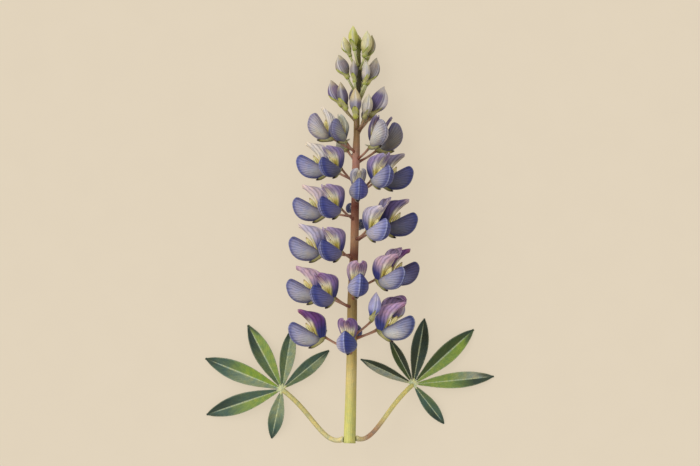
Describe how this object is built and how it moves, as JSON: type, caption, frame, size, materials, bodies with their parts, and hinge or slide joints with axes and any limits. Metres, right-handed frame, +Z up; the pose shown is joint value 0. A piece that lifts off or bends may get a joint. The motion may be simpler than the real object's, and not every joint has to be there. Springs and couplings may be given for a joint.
{
  "type": "lupin flower spike",
  "caption": "Cut lupin flower spike lying on its side: whorls of blue-violet pea florets and buds on a tapering stem, with two palmate leaves at its foot.",
  "frame": {"origin": "on the surface the spike lies on, under the middle of its bounding box", "axes": "+Y runs along the spike from the cut foot to the tip, +X across it to the viewer's right, +Z up from the surface"},
  "size_m": [0.126, 0.1802, 0.0403],
  "materials": {
    "stem": "satin plant stem, lime green at the foot, tan and red-brown above, finely hairy",
    "leaf": "soft matte leaf with a pale midrib and a silky margin",
    "petals": "soft matte petal, blue-violet wings with fine veins under a mauve and cream standard petal",
    "buds": "soft matte closed petals, grey-lilac, in a yellow-green calyx",
    "bud_tips": "soft matte closed petals, cream and yellow-green"
  },
  "bodies": {
    "root": {"floret_a1": "petals", "floret_a2": "petals", "floret_a3": "petals", "bud_a4": "buds", "bud_a5": "buds", "bud_a6": "buds", "floret_b1": "petals", "floret_b2": "petals", "floret_b3": "petals", "floret_b4": "petals", "floret_b5": "petals", "bud_b6": "buds", "floret_c1": "petals", "floret_c2": "petals", "floret_c3": "petals", "floret_c4": "petals", "bud_c5": "buds", "floret_d1": "petals", "floret_d2": "petals", "floret_d3": "petals", "floret_d4": "petals", "floret_d5": "petals", "bud_d6": "buds", "floret_e1": "petals", "floret_e2": "petals", "floret_e3": "petals", "floret_e4": "petals", "bud_e5": "buds", "floret_f1": "petals", "floret_f2": "petals", "bud_f3": "buds", "bud_f4": "buds", "bud_f5": "buds", "bud_f6": "buds", "bud_g1": "buds", "bud_g2": "buds", "bud_g3": "buds", "bud_g4": "buds", "bud_h1": "buds", "bud_h2": "buds", "bud_h3": "buds", "bud_h4": "buds", "bud_h5": "buds", "bud_i1": "bud_tips", "bud_i2": "bud_tips", "bud_i3": "bud_tips", "bud_i4": "bud_tips", "bud_i5": "bud_tips", "stem": "stem", "leaf_left": "leaf", "leaf_right": "leaf"}
  },
  "joints": []
}
